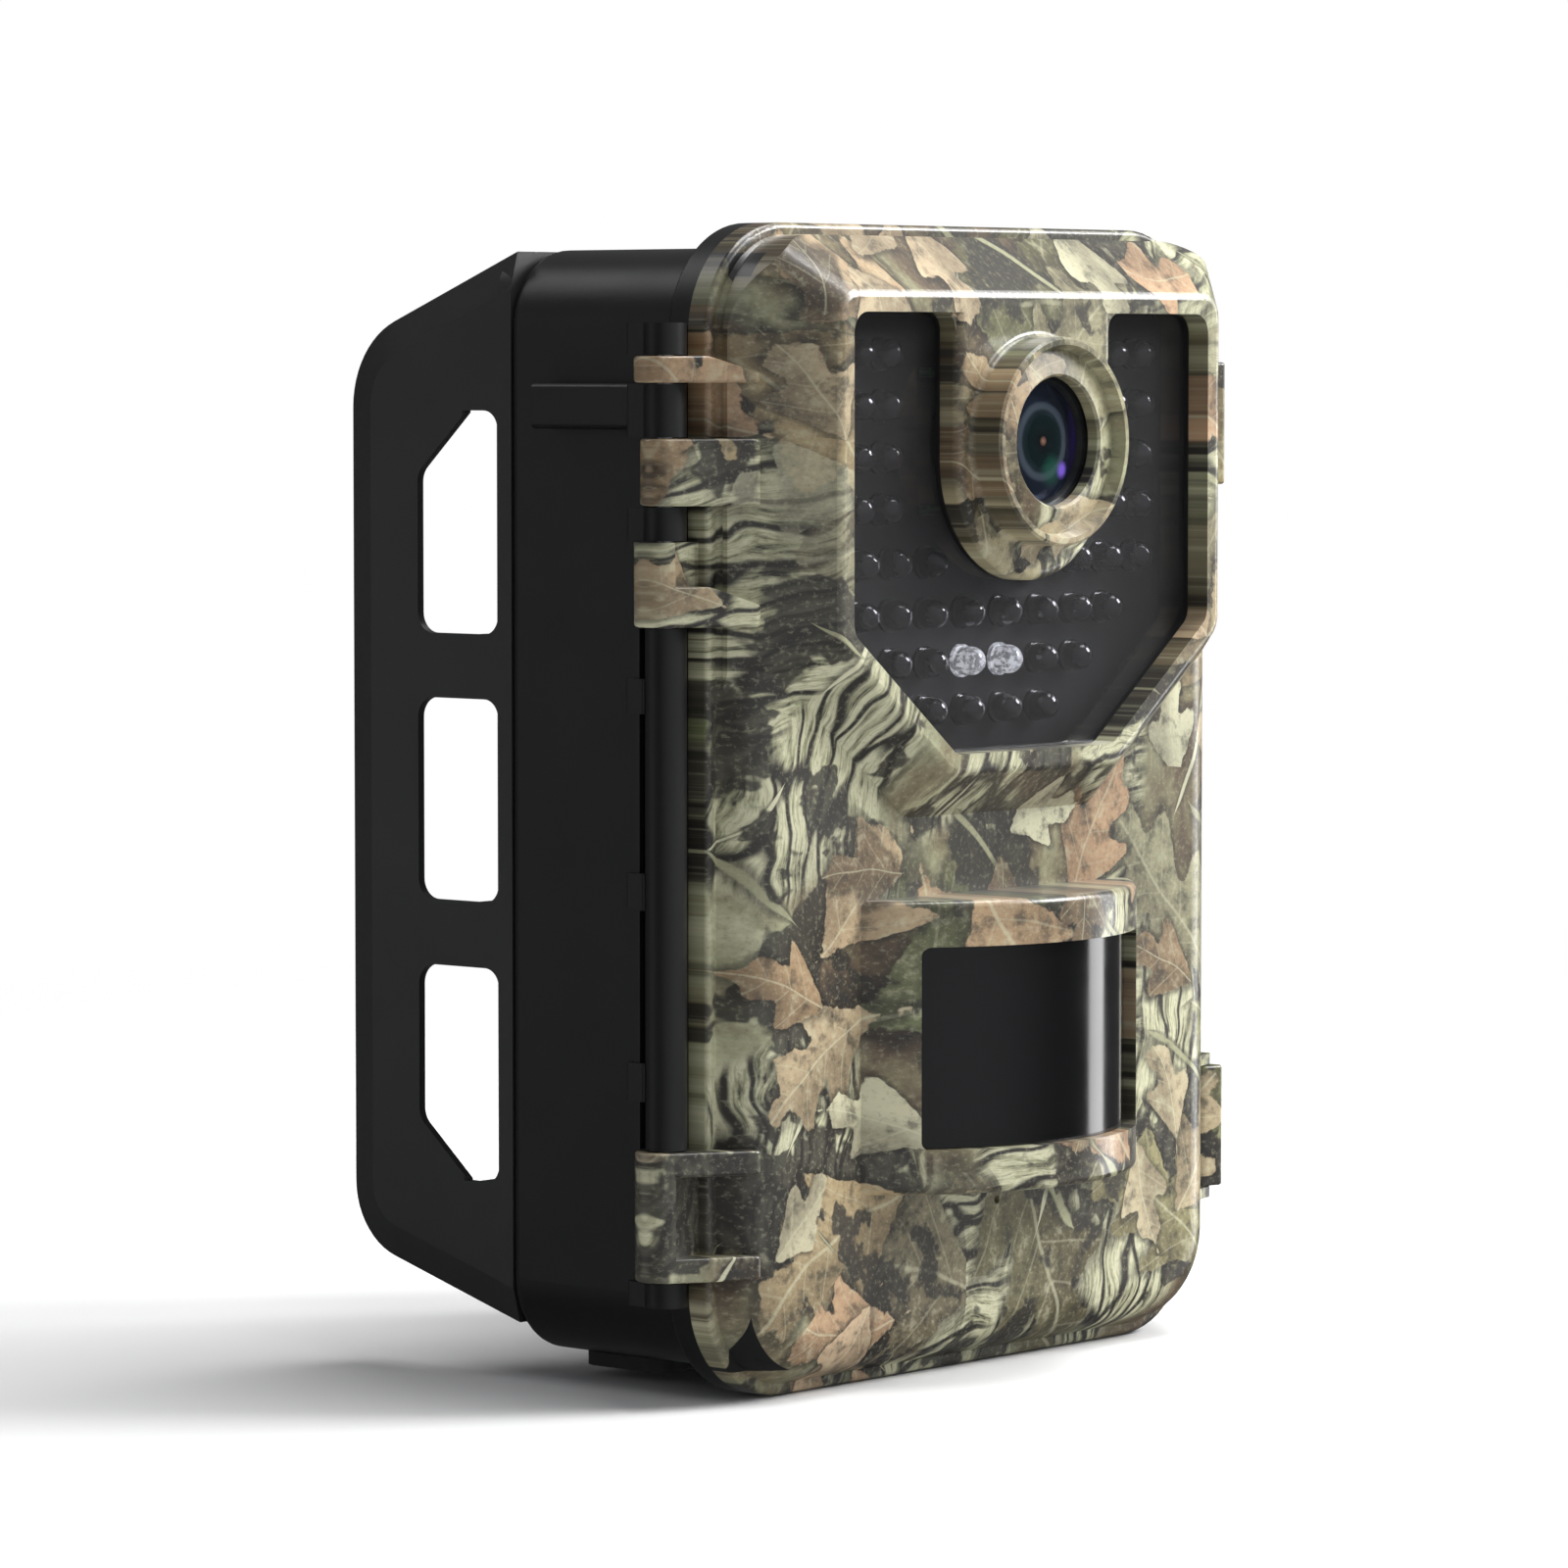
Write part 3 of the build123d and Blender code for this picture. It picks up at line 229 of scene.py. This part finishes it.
def bark_layer(g, below, seed, turn, zone_scale, low, high):
    """Weathered bark: pale plates split by dark cracks, in patches."""
    place = warped(g, print_coords(g, seed, turn), 0.09, 5.0)
    grain = g.vector("MULTIPLY", place, (1.0, 0.22, 1.0))
    plates = g.voronoi(warped(g, grain, 0.25, 2.2), 0.26, "DISTANCE_TO_EDGE").outputs["Distance"]
    fine = g.noise(g.vector("MULTIPLY", place, (1.0, 0.12, 1.0)), 1.1, 4.0, 0.65, dims="2D")
    plate = g.ramp(fine, [(0.3, CHARCOAL), (0.43, SAGE), (0.56, CREAM), (0.72, SAGE)])
    cracks = g.step(plates, 0.13, 0.03)
    paint = g.mix(cracks, plate, CHARCOAL)
    zone = g.step(g.noise(print_coords(g, seed + 3.0), zone_scale, 2.0, 0.5, dims="2D"), low, high)
    return g.mix(zone, below, paint)


def twig_layer(g, below, seed, turn, spacing, width, rgb, share):
    """Thin bent twigs: a few wandering lines that come and go."""
    place = warped(g, print_coords(g, seed, turn), 0.03, 14.0)
    x, _, _ = g.split(g.vector("SCALE", place, scale=1.0 / spacing))
    offset = g.math("ABSOLUTE", g.math("SUBTRACT", g.math("FRACT", x), 0.5))
    gate = g.noise(print_coords(g, seed + 5.0), 0.05, 1.0, dims="2D")
    half = g.math("MULTIPLY", g.step(gate, share, share + 0.12), width / spacing)
    line = g.step(offset, half, g.math("MULTIPLY", half, 0.45))
    line = g.math("MULTIPLY", line, g.step(gate, share, share + 0.02))
    dark = g.math("MULTIPLY", g.step(offset, g.math("MULTIPLY", half, 2.6), half), 0.6)
    below = g.mix(g.math("MULTIPLY", dark, g.step(gate, share, share + 0.05)), below, CHARCOAL)
    return g.mix(line, below, rgb)


def hollow_layer(g, below, seed, scale, level):
    """Dark hollows between the leaves, with ragged edges."""
    place = warped(g, print_coords(g, seed), 0.25, 3.0)
    depth = g.noise(place, scale, 4.0, 0.6, dims="2D")
    return g.mix(g.math("MULTIPLY", g.step(depth, level, level + 0.035), 0.9), below, CHARCOAL)


# The front shell's cavities in millimetres, each a hair wider than in the CAD. Y is counted
# from the joint plane. What lies inside them is bare black plastic.
DOOR_HOLLOW = {"y": -6.35, "half": 41.95, "z0": 3.55, "z1": 131.45}
LAMP_BAY = {"y": -11.3, "half": 34.5, "z0": 72.4, "z1": 126.0}
LAMP_BAY_SLANT = {"side": 0.617, "z": -0.787, "offset": 48.99, "limit": 1.4}
SENSOR_DRUM = {"centre": 10.6, "r": 29.9, "z0": 24.9, "z1": 54.9}
LENS_SEAT = {"y": -15.9, "z": 109.8, "r": 8.3}


def unprinted(g):
    """1 inside the front shell, where the black plastic shows: cavities and the window's gasket line."""
    moved = g.vector("ADD", g.coords, (0.0, SOCKET_Y, 0.0))
    x, y, z = g.split(g.vector("SCALE", moved, scale=1000.0))
    side = g.math("ABSOLUTE", x)

    def below(value, limit):
        return g.math("LESS_THAN", value, limit)

    def above(value, limit):
        return g.math("GREATER_THAN", value, limit)

    def every(*tests):
        result = tests[0]
        for test in tests[1:]:
            result = g.math("MULTIPLY", result, test)
        return result

    def boxed(cavity):
        return every(above(y, cavity["y"]), below(side, cavity["half"]),
                     above(z, cavity["z0"]), below(z, cavity["z1"]))

    slope = g.math("MULTIPLY_ADD", side, LAMP_BAY_SLANT["side"], LAMP_BAY_SLANT["offset"])
    slope = g.math("ADD", slope, g.math("MULTIPLY", z, LAMP_BAY_SLANT["z"]))
    body = boxed(DOOR_HOLLOW)
    bay = every(boxed(LAMP_BAY), below(slope, LAMP_BAY_SLANT["limit"]))
    reach = g.vector("LENGTH", g.join(x, g.math("SUBTRACT", y, SENSOR_DRUM["centre"])))
    drum = every(below(reach, SENSOR_DRUM["r"]), above(z, SENSOR_DRUM["z0"]),
                 below(z, SENSOR_DRUM["z1"]), below(y, 0.0))
    off_axis = g.vector("LENGTH", g.join(x, g.math("SUBTRACT", z, LENS_SEAT["z"])))
    seat = every(above(y, LENS_SEAT["y"]), below(off_axis, LENS_SEAT["r"]))
    return g.math("MAXIMUM", g.math("MAXIMUM", body, bay), g.math("MAXIMUM", drum, seat))


def camo_material():
    g = Graph("camo_plastic")
    place = warped(g, print_coords(g, 1.0), 0.06, 9.0)
    ground = g.ramp(g.noise(place, 0.045, 6.0, 0.65, dims="2D"),
                    [(0.32, CHARCOAL), (0.43, BROWN), (0.51, KHAKI), (0.61, SAGE), (0.74, CREAM)])
    paint = bark_layer(g, ground, 2.0, 0.15, 0.022, 0.47, 0.52)
    paint = bark_layer(g, paint, 9.0, 1.35, 0.02, 0.54, 0.59)
    paint = leaf_layer(g, paint, 3.0, 38.0, [BROWN, MOSS, LEAF_DARK, SAGE], 0.8, 3.0, 0.34)
    paint = hollow_layer(g, paint, 12.0, 0.055, 0.545)
    paint = twig_layer(g, paint, 4.0, 0.5, 23.0, 0.5, CREAM, 0.5)
    paint = leaf_layer(g, paint, 5.0, 29.0, [PEACH, MOSS, TAN, SAGE], 0.55, 3.0, 0.33)
    paint = twig_layer(g, paint, 6.0, -0.9, 27.0, 0.6, SAGE, 0.52)
    paint = hollow_layer(g, paint, 14.0, 0.07, 0.60)
    paint = leaf_layer(g, paint, 7.0, 22.0, [TAN, PEACH, SAGE], 0.42, 2.5, 0.36)
    paint = leaf_layer(g, paint, 8.0, 14.0, [PEACH, CREAM, TAN, CHARCOAL], 0.4, 2.0, 0.36)
    drift = g.noise(print_coords(g, 15.0), 0.03, 3.0, 0.6, dims="2D")
    paint = g.mix(g.math("MULTIPLY", g.step(drift, 0.45, 0.75), 0.4), paint, g.mix(0.8, paint, CHARCOAL))
    speck = g.noise(print_coords(g, 11.0), 1.6, 4.0, 0.7, dims="2D")
    paint = g.mix(g.math("MULTIPLY", g.step(speck, 0.54, 0.74), 0.3), paint, CHARCOAL)
    paint = g.mix(g.math("MULTIPLY", g.step(speck, 0.47, 0.30), 0.2), paint, CREAM)
    paint = g.mix(unprinted(g), paint, BARE_PLASTIC)
    grain = g.noise(g.coords, 1800.0, 2.0)
    return g.finish(g.surface(base_color=paint, roughness=g.gloss(speck, 0.30, 0.42),
                              normal=g.bump(grain, 0.05, 0.0001), coat_weight=0.35, coat_roughness=0.18))


# ---- plain materials ----

def plastic_material(name, rgb, rough, grain=900.0, depth=0.06, spread=0.08):
    """Moulded plastic: fine grain, and a colour and a gloss that vary a little."""
    g = Graph(name)
    drift = g.noise(g.coords, 45.0, 3.0)
    tone = g.mix(drift, tinted(rgb, 0.8), tinted(rgb, 1.25))
    smear = g.noise(g.coords, 120.0, 4.0, 0.6)
    height = g.noise(g.coords, grain, 3.0, 0.6)
    return g.finish(g.surface(base_color=tone, roughness=g.gloss(smear, rough - spread, rough + spread),
                              normal=g.bump(height, depth, 0.0002)))


def metal_material(name, rgb, rough, brushed=(60.0, 60.0, 2500.0)):
    """Brushed metal: fine lines across the axis with the high number."""
    g = Graph(name)
    lines = g.noise(g.vector("MULTIPLY", g.coords, brushed), 1.0, 3.0, 0.6)
    tone = g.mix(lines, tinted(rgb, 0.75), rgb)
    gloss = g.gloss(lines, rough * 0.7, rough * 1.4)
    return g.finish(g.surface(base_color=tone, metallic=1.0, roughness=gloss,
                              normal=g.bump(lines, 0.08, 0.0001)))


def mirror_share(g, ior, strength=1.0):
    """How much a thin sheet mirrors, from its outer side only."""
    outer = g.math("SUBTRACT", 1.0, g.node("ShaderNodeNewGeometry").outputs["Backfacing"])
    share = g.math("MULTIPLY", g.node("ShaderNodeFresnel", {"IOR": ior}).outputs[0], outer)
    return g.math("MULTIPLY", share, strength)


def mirrored(g, body, share, rgba, rough):
    """A clear body with a share of mirror over it."""
    mirror = g.node("ShaderNodeBsdfGlossy", {"Color": rgba, "Roughness": rough}).outputs[0]
    return g.node("ShaderNodeMixShader", {0: share, 1: body, 2: mirror}).outputs[0]


def smoked_panel_material():
    """Dark clear sheet with a slight grey haze: the lamps show through it."""
    g = Graph("smoked_panel")
    drift = g.noise(g.coords, 30.0, 2.0)
    tint = g.mix(drift, (0.80, 0.80, 0.82), (0.84, 0.84, 0.86))
    through = g.node("ShaderNodeBsdfTransparent", {"Color": tint}).outputs[0]
    haze = g.node("ShaderNodeBsdfDiffuse", {"Color": (0.27, 0.27, 0.27, 1.0)}).outputs[0]
    body = g.node("ShaderNodeMixShader", {0: 0.05, 1: through, 2: haze}).outputs[0]
    return g.finish(mirrored(g, body, mirror_share(g, 1.45), (0.9, 0.9, 0.92, 1), 0.05))


def clear_lamp_material(name, rgb, painted_rim_sheen, core=0.3, painted_glow=0.0):
    """A clear epoxy dome over a dark or pale chip, with a painted sheen that makes the dome paler towards
    its edge as it turns from the view. A pale chip can also be given painted emission in crumbs, standing
    in for its glints.
    """
    g = Graph(name)
    # Painted sheen: the colour turns paler where the dome turns away from the view.
    facing = g.node("ShaderNodeLayerWeight", {"Blend": 0.35}).outputs["Facing"]
    cloud = g.noise(g.coords, 700.0, 2.0)
    inner = g.mix(g.math("MULTIPLY", facing, painted_rim_sheen), tinted(rgb, core), rgb)
    inner = g.mix(g.math("MULTIPLY", cloud, 0.3), inner, (0.02, 0.02, 0.02))
    # Painted emission: crumbs of pale light stand in for the glints of the chip, which is not switched on.
    crumbs = g.noise(g.coords, 1500.0, 3.0, 0.7)
    painted_sparkle = g.mix(g.step(crumbs, 0.44, 0.58), tinted(rgb, 0.12), rgb)
    return g.finish(g.surface(base_color=inner, roughness=0.10, coat_weight=0.8, coat_roughness=0.04,
                              specular_ior_level=0.8, emission_color=painted_sparkle, emission_strength=painted_glow))


def lens_glass_material():
    """Multi-coated glass: nearly black, with painted reflections: rings, a warm spark in the middle, a
    violet one, a green patch and a violet edge.
    """
    g = Graph("lens_glass")
    centred = g.vector("SUBTRACT", g.coords, (0.0, 0.0, LENS_SEAT["z"] * MM))
    x, _, z = g.split(g.vector("SCALE", centred, scale=1000.0))
    radius = g.vector("LENGTH", g.join(x, z))
    wobble = g.math("MULTIPLY_ADD", g.noise(g.coords, 300.0, 2.0), 0.3, radius)
    # Painted reflections: rings in the glass, with a warm spot in the middle.
    rings = g.ramp(g.math("DIVIDE", wobble, 6.5),
                   [(0.0, (0.34, 0.17, 0.11)), (0.07, (0.16, 0.08, 0.05)), (0.12, (0.006, 0.007, 0.007)),
                    (0.44, (0.004, 0.011, 0.010)), (0.57, (0.012, 0.018, 0.020)),
                    (0.63, (0.055, 0.065, 0.075)), (0.70, (0.050, 0.058, 0.072)),
                    (0.76, (0.010, 0.013, 0.020)), (1.0, (0.009, 0.012, 0.020))])
    # Painted glint: a violet spark to the lower right.
    spark = g.vector("LENGTH", g.join(g.math("SUBTRACT", x, 3.9), g.math("ADD", z, 3.4)))
    paint = g.mix(g.step(spark, 1.3, 0.3), rings, (0.24, 0.12, 0.62))
    # Painted reflection: a green patch low in the glass.
    green = g.vector("LENGTH", g.join(g.math("SUBTRACT", x, 1.8), g.math("ADD", z, 3.4)))
    paint = g.mix(g.math("MULTIPLY", g.step(green, 2.4, 0.6), 0.5), paint, (0.02, 0.10, 0.06))
    # Painted reflection: violet along the right edge.
    edge = g.math("MULTIPLY", g.step(x, 4.6, 6.8), 0.5)
    paint = g.mix(edge, paint, (0.05, 0.02, 0.16))
    facing = g.node("ShaderNodeLayerWeight", {"Blend": 0.4}).outputs["Facing"]
    sheen = g.ramp(facing, [(0.0, (0.25, 0.7, 0.5)), (0.35, (0.3, 0.35, 1.0)), (0.8, (0.6, 0.3, 1.0))])
    return g.finish(g.surface(base_color=paint, roughness=0.05, specular_ior_level=0.35,
                              specular_tint=sheen))


def clear_cover_material():
    """A thin flat clear cover."""
    g = Graph("optical_glass")
    tint = (0.93, 0.95, 0.97)
    smear = g.noise(g.coords, 90.0, 3.0)
    paint = g.mix(g.math("MULTIPLY", smear, 0.2), tint, tinted(tint, 0.9))
    through = g.node("ShaderNodeBsdfTransparent", {"Color": paint}).outputs[0]
    return g.finish(mirrored(g, through, mirror_share(g, 1.35, 0.8), (1, 1, 1, 1), 0.02))


def board_material():
    """Green solder mask with fine copper tracks under it."""
    g = Graph("circuit_board")
    place = g.vector("MULTIPLY", g.coords, (1.0, 0.0, 1.0))
    tracks = g.node("ShaderNodeTexVoronoi", {"Vector": place, "Scale": 380.0, "Randomness": 0.35},
                    feature="DISTANCE_TO_EDGE", distance="EUCLIDEAN").outputs["Distance"]
    copper = g.step(tracks, 0.10, 0.05)
    paint = g.mix(copper, (0.008, 0.075, 0.03), (0.02, 0.17, 0.06))
    return g.finish(g.surface(base_color=paint, roughness=0.35, coat_weight=0.5, coat_roughness=0.1,
                              normal=g.bump(copper, 0.2, 0.0001)))


def battery_material():
    """A printed sleeve: dark body, copper-coloured shoulder at one end, no lettering."""
    g = Graph("battery_sleeve")
    _, _, z = g.split(g.coords)
    band = g.math("FRACT", g.math("DIVIDE", z, 55.1 * MM))
    paint = g.mix(g.step(band, 0.52, 0.54), (0.02, 0.022, 0.03), (0.55, 0.28, 0.10))
    scuff = g.noise(g.coords, 400.0, 4.0, 0.7)
    paint = g.mix(g.math("MULTIPLY", g.step(scuff, 0.55, 0.7), 0.3), paint, (0.3, 0.3, 0.3))
    return g.finish(g.surface(base_color=paint, roughness=0.28, metallic=0.35, coat_weight=0.4))


def screen_material():
    """A dark glossy screen with the faint pixel grid of a liquid-crystal display."""
    g = Graph("screen")
    place = g.vector("MULTIPLY", g.coords, (1.0, 0.0, 1.0))
    grid = g.node("ShaderNodeTexVoronoi", {"Vector": place, "Scale": 5200.0, "Randomness": 0.0},
                  feature="F1").outputs["Distance"]
    paint = g.mix(g.step(grid, 0.2, 0.6), (0.012, 0.014, 0.02), (0.005, 0.006, 0.008))
    return g.finish(g.surface(base_color=paint, roughness=0.12, coat_weight=1.0, coat_roughness=0.02))


def make_materials():
    black = (0.012, 0.012, 0.013)
    return {
        "camo_plastic": camo_material(),
        "black_case": plastic_material("black_case", (0.006, 0.006, 0.0063), 0.40, 1400.0, 0.05, 0.02),
        "black_bracket": plastic_material("black_bracket", (0.022, 0.022, 0.023), 0.43, 1400.0, 0.05, 0.02),
        "black_inner": plastic_material("black_inner", black, 0.5, 1000.0, 0.15),
        "smoked_panel": smoked_panel_material(),
        "pir_window": plastic_material("pir_window", (0.003, 0.003, 0.0033), 0.13, 200.0, 0.01, 0.02),
        # The third number paints a sheen on the domes' edges; the white lamp's last number is its painted
        # emission.
        "clear_lamp": clear_lamp_material("clear_lamp", (0.008, 0.008, 0.009), 0.8),
        "white_lamp": clear_lamp_material("white_lamp", (0.9, 0.92, 0.95), 1.0, 0.6, 0.75),
        "optical_glass": clear_cover_material(),
        "lens_glass": lens_glass_material(),
        "circuit_board": board_material(),
        "lamp_board": plastic_material("lamp_board", (0.004, 0.004, 0.0045), 0.5),
        "black_chip": plastic_material("black_chip", (0.02, 0.02, 0.02), 0.4, 2000.0, 0.2),
        "steel": metal_material("steel", (0.62, 0.62, 0.64), 0.28),
        "brass": metal_material("brass", (0.78, 0.55, 0.22), 0.25, (2000.0, 2000.0, 40.0)),
        "soft_rubber": plastic_material("soft_rubber", (0.02, 0.02, 0.02), 0.7, 600.0, 0.2),
        "battery_sleeve": battery_material(),
        "screen": screen_material(),
        "grey_key": plastic_material("grey_key", (0.16, 0.16, 0.165), 0.5, 900.0, 0.2),
    }


SPECIAL = {"white_lamps": "white_lamp", "lens_glass": "lens_glass", "lamp_board": "lamp_board"}


def dress_cad_nodes(materials):
    """Gives every CAD node the finish of its slot."""
    slots = {part["node"]: part["material_slot"] for part in frame["record"]["subparts"]}
    for name, piece in nodes.items():
        material = materials[SPECIAL.get(name, slots[name])]
        if not piece.material_slots:
            piece.data.materials.append(material)
        for slot in piece.material_slots:
            slot.material = material


# ---- studio ----

EYE = Vector((-624.94, -527.58, 119.59)) * MM
VIEW_AZIMUTH = math.radians(-49.31)
VIEW_PITCH = math.radians(3.58)
FOCAL = 156.53
SENSOR_WIDTH = 36.0
FLOOR_HALF = 1.5
FLOOR_Z = -0.2 * MM
FLOOR_FADE = (0.18, 0.55)
ROOM_DARK = 0.09
ROOM_BRIGHT = 0.6
MIRRORED_ROOM = 0.85
ROOM_FRONT = Vector((-0.25, -0.85, 0.45)).normalized()


def add_camera():
    data = bpy.data.cameras.new("camera")
    data.lens = FOCAL
    data.sensor_width = SENSOR_WIDTH
    data.clip_start = 0.01
    camera = bpy.data.objects.new("camera", data)
    camera.location = EYE
    camera.rotation_euler = (math.pi / 2 - VIEW_PITCH, 0, VIEW_AZIMUTH)
    bpy.context.scene.collection.objects.link(camera)
    bpy.context.scene.camera = camera


def add_area(name, place, target, size, power, size_y=None):
    """A soft rectangular light at a place, turned to its target."""
    data = bpy.data.lights.new(name, "AREA")
    data.energy = power
    data.shape = "RECTANGLE"
    data.size = size
    data.size_y = size_y or size
    light = bpy.data.objects.new(name, data)
    light.location = place
    light.rotation_euler = (Vector(target) - Vector(place)).to_track_quat("-Z", "Y").to_euler()
    bpy.context.scene.collection.objects.link(light)


def add_world():
    """White to the camera. To everything else a dim room, a little brighter in front, dimmer in mirrors."""
    g = Graph("studio", bpy.data.worlds, "ShaderNodeOutputWorld")
    ahead = g.vector("DOT_PRODUCT", g.coords.node.outputs["Generated"], ROOM_FRONT)
    level = g.node("ShaderNodeMapRange", {0: ahead, 1: 0.35, 2: 1.0, 3: ROOM_DARK, 4: ROOM_BRIGHT},
                   interpolation_type="SMOOTHSTEP").outputs[0]
    rays = g.node("ShaderNodeLightPath").outputs
    dim = g.node("ShaderNodeMapRange", {0: rays["Is Glossy Ray"], 3: 1.0, 4: MIRRORED_ROOM}).outputs[0]
    lit = g.node("ShaderNodeBackground", {"Color": (0.95, 0.97, 1.0, 1),
                                          "Strength": g.math("MULTIPLY", level, dim)}).outputs[0]
    seen = g.node("ShaderNodeBackground", {"Color": (1, 1, 1, 1)}).outputs[0]
    mix = g.node("ShaderNodeMixShader", {0: rays["Is Camera Ray"], 1: lit, 2: seen}).outputs[0]
    bpy.context.scene.world = g.finish(mix)


def add_floor():
    """A plain pale floor that fades into the white background and is not mirrored in the camera."""
    mesh = bpy.data.meshes.new("floor")
    corners = [(x * FLOOR_HALF, y * FLOOR_HALF, 0) for x, y in ((-1, -1), (1, -1), (1, 1), (-1, 1))]
    mesh.from_pydata(corners, [], [(0, 1, 2, 3)])
    floor = bpy.data.objects.new("floor", mesh)
    floor.location.z = FLOOR_Z
    floor.visible_glossy = False
    bpy.context.scene.collection.objects.link(floor)
    g = Graph("floor")
    cloud = g.noise(g.coords, 0.8, 2.0)
    paper = g.surface(base_color=g.mix(cloud, (0.74, 0.74, 0.74), (0.77, 0.77, 0.77)),
                      roughness=0.7, specular_ior_level=0.1)
    clear = g.node("ShaderNodeBsdfTransparent").outputs[0]
    gone = g.step(g.vector("LENGTH", g.coords), *FLOOR_FADE)
    mesh.materials.append(g.finish(g.node("ShaderNodeMixShader", {0: gone, 1: paper, 2: clear}).outputs[0]))


def add_studio():
    """A tall strip that the sensor window mirrors, a key, a top light and two weak ones from behind."""
    add_world()
    add_floor()
    add_camera()
    target = (0, 0, 0.07)
    add_area("strip", (0.92, -0.29, 0.45), (0, 0, 0.45), 0.24, 4.8, 1.3)
    add_area("key", (0.47, -0.45, 0.46), target, 0.30, 7.6)
    add_area("top", (0.20, -0.12, 0.95), target, 0.6, 10.5)
    add_area("left_back", (-1.0, 0.75, 0.15), target, 0.8, 0.55)
    add_area("upper_back", (-0.25, 0.70, 0.80), target, 0.4, 1.1)
    bpy.context.scene.view_settings.view_transform = "Standard"


dress_cad_nodes(make_materials())
add_studio()
